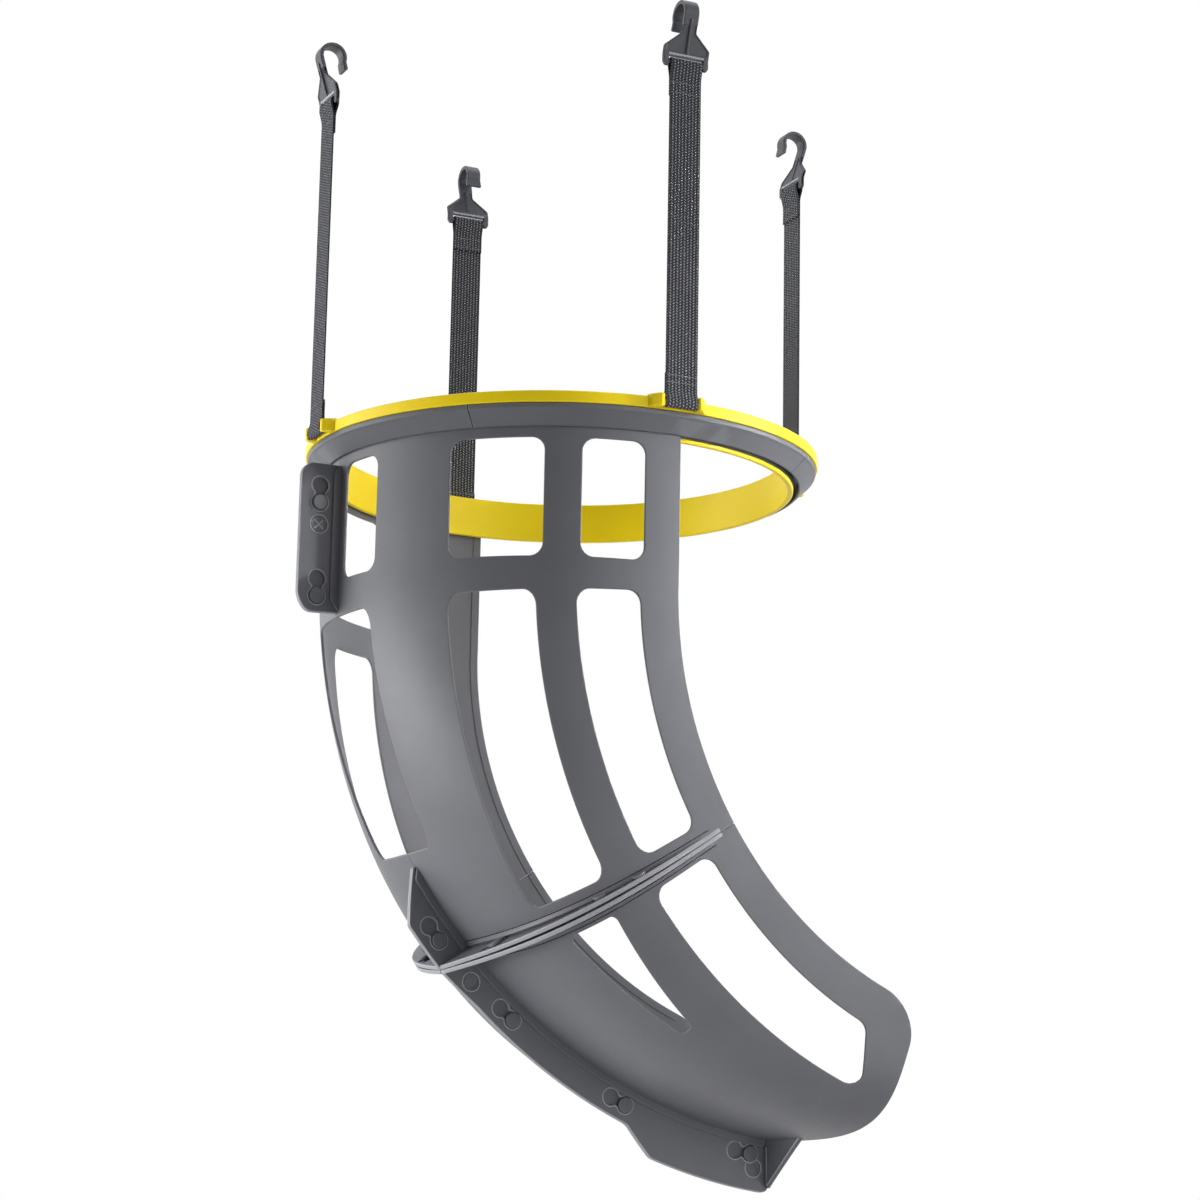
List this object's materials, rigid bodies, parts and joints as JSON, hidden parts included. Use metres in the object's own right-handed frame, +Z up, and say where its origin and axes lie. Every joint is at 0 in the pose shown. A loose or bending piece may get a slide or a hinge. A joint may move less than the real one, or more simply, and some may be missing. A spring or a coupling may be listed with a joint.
{
  "type": "basketball return net",
  "caption": "Swivelling moulded ball-return chute with cut-out windows, on a track ring hung from a hoop by webbing straps and hooks.",
  "frame": {"origin": "centre of the circle on which the four hooks grip the hoop's rod, on the axis of the track ring", "axes": "+Z up along the ring's axis; +X the way the chute sends the ball; +Y to the left of that; the spine and its flanges are on -X"},
  "size_m": [0.5417, 0.5402, 1.0845],
  "materials": {
    "track_plastic": "satin moulded polypropylene, bright yellow",
    "chute_plastic": "fine-grained moulded polypropylene, mid grey",
    "dark_plastic": "moulded nylon, dark grey",
    "webbing": "flat-woven polypropylene webbing, dark grey"
  },
  "bodies": {
    "track": {"track_ring": "track_plastic"},
    "chute": {"chute_upper_left": "chute_plastic", "chute_upper_right": "chute_plastic", "chute_lower_left": "chute_plastic", "chute_lower_right": "chute_plastic", "swivel_segment_front": "chute_plastic", "swivel_segment_left": "chute_plastic", "swivel_segment_rear": "chute_plastic", "swivel_segment_right": "chute_plastic", "swivel_joiner_1": "dark_plastic", "swivel_joiner_2": "dark_plastic", "swivel_joiner_3": "dark_plastic", "swivel_joiner_4": "dark_plastic", "seam_rivet_1": "dark_plastic", "seam_rivet_2": "dark_plastic", "seam_rivet_3": "dark_plastic"},
    "strap_front": {"strap_front": "webbing"},
    "hook_front": {"hook_front": "dark_plastic"},
    "strap_left": {"strap_left": "webbing"},
    "hook_left": {"hook_left": "dark_plastic"},
    "strap_rear": {"strap_rear": "webbing"},
    "hook_rear": {"hook_rear": "dark_plastic"},
    "strap_right": {"strap_right": "webbing"},
    "hook_right": {"hook_right": "dark_plastic"}
  },
  "joints": [
    {"name": "chute_swivel", "type": "hinge", "parent": "track", "child": "chute", "pos_m": [0, 0, -0.3795], "axis": [0, 0, 1], "continuous": true},
    {"name": "strap_front_swing", "type": "hinge", "parent": "track", "child": "strap_front", "pos_m": [0.2556, 0, -0.375], "axis": [0, 1, 0], "range_deg": [-22, 150]},
    {"name": "hook_front_pivot", "type": "hinge", "parent": "strap_front", "child": "hook_front", "pos_m": [0.2556, 0, -0.048], "axis": [0, 1, 0], "range_deg": [-120, 120]},
    {"name": "strap_left_swing", "type": "hinge", "parent": "track", "child": "strap_left", "pos_m": [0, 0.2556, -0.375], "axis": [-1, 0, 0], "range_deg": [-22, 150]},
    {"name": "hook_left_pivot", "type": "hinge", "parent": "strap_left", "child": "hook_left", "pos_m": [0, 0.2556, -0.048], "axis": [-1, 0, 0], "range_deg": [-120, 120]},
    {"name": "strap_rear_swing", "type": "hinge", "parent": "track", "child": "strap_rear", "pos_m": [-0.2556, 0, -0.375], "axis": [0, -1, 0], "range_deg": [-22, 150]},
    {"name": "hook_rear_pivot", "type": "hinge", "parent": "strap_rear", "child": "hook_rear", "pos_m": [-0.2556, 0, -0.048], "axis": [0, -1, 0], "range_deg": [-120, 120]},
    {"name": "strap_right_swing", "type": "hinge", "parent": "track", "child": "strap_right", "pos_m": [0, -0.2556, -0.375], "axis": [1, 0, 0], "range_deg": [-22, 150]},
    {"name": "hook_right_pivot", "type": "hinge", "parent": "strap_right", "child": "hook_right", "pos_m": [0, -0.2556, -0.048], "axis": [1, 0, 0], "range_deg": [-120, 120]}
  ]
}
